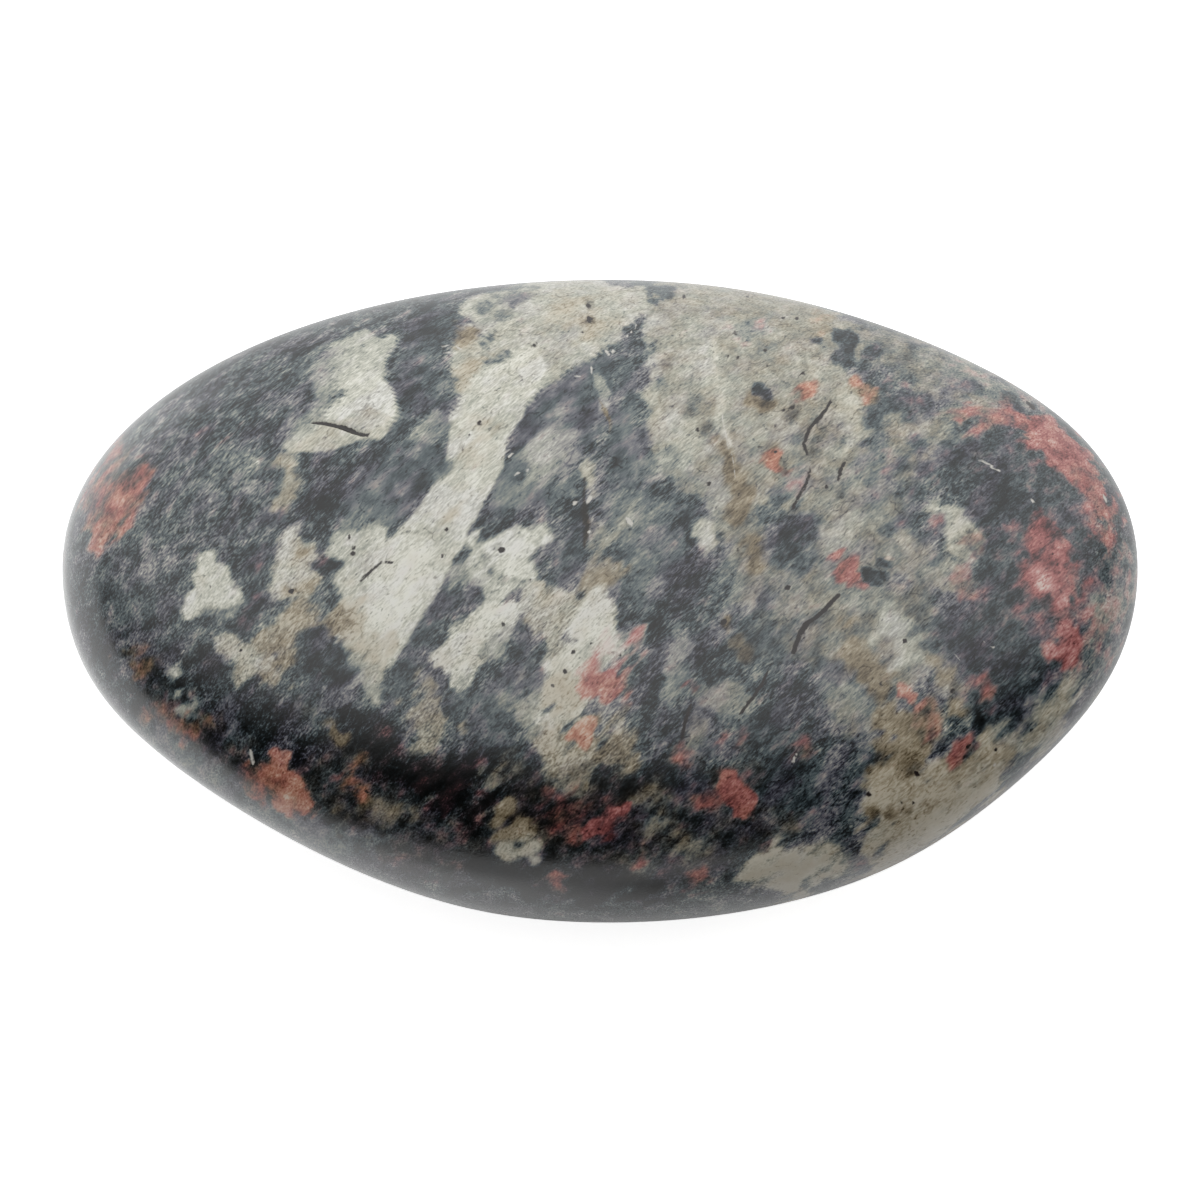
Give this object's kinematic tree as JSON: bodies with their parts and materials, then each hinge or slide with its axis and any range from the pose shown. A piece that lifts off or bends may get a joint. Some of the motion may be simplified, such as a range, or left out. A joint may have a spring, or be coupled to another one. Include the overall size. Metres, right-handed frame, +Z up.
{
  "type": "polished rhodonite freeform",
  "caption": "Smooth lopsided oval stone of mottled grey, cream, black and rose rhodonite, polished all over, resting on a small flat ground on its belly.",
  "frame": {"origin": "on the surface that the stone rests on, under the middle of its box", "axes": "+X along the stone's length, towards its right end as the picture shows it; -Y to its front, the picture's lower edge; +Z up"},
  "size_m": [0.1096, 0.0674, 0.0453],
  "materials": {
    "rhodonite": "gloss"
  },
  "bodies": {
    "root": {"stone": "rhodonite"}
  },
  "joints": []
}
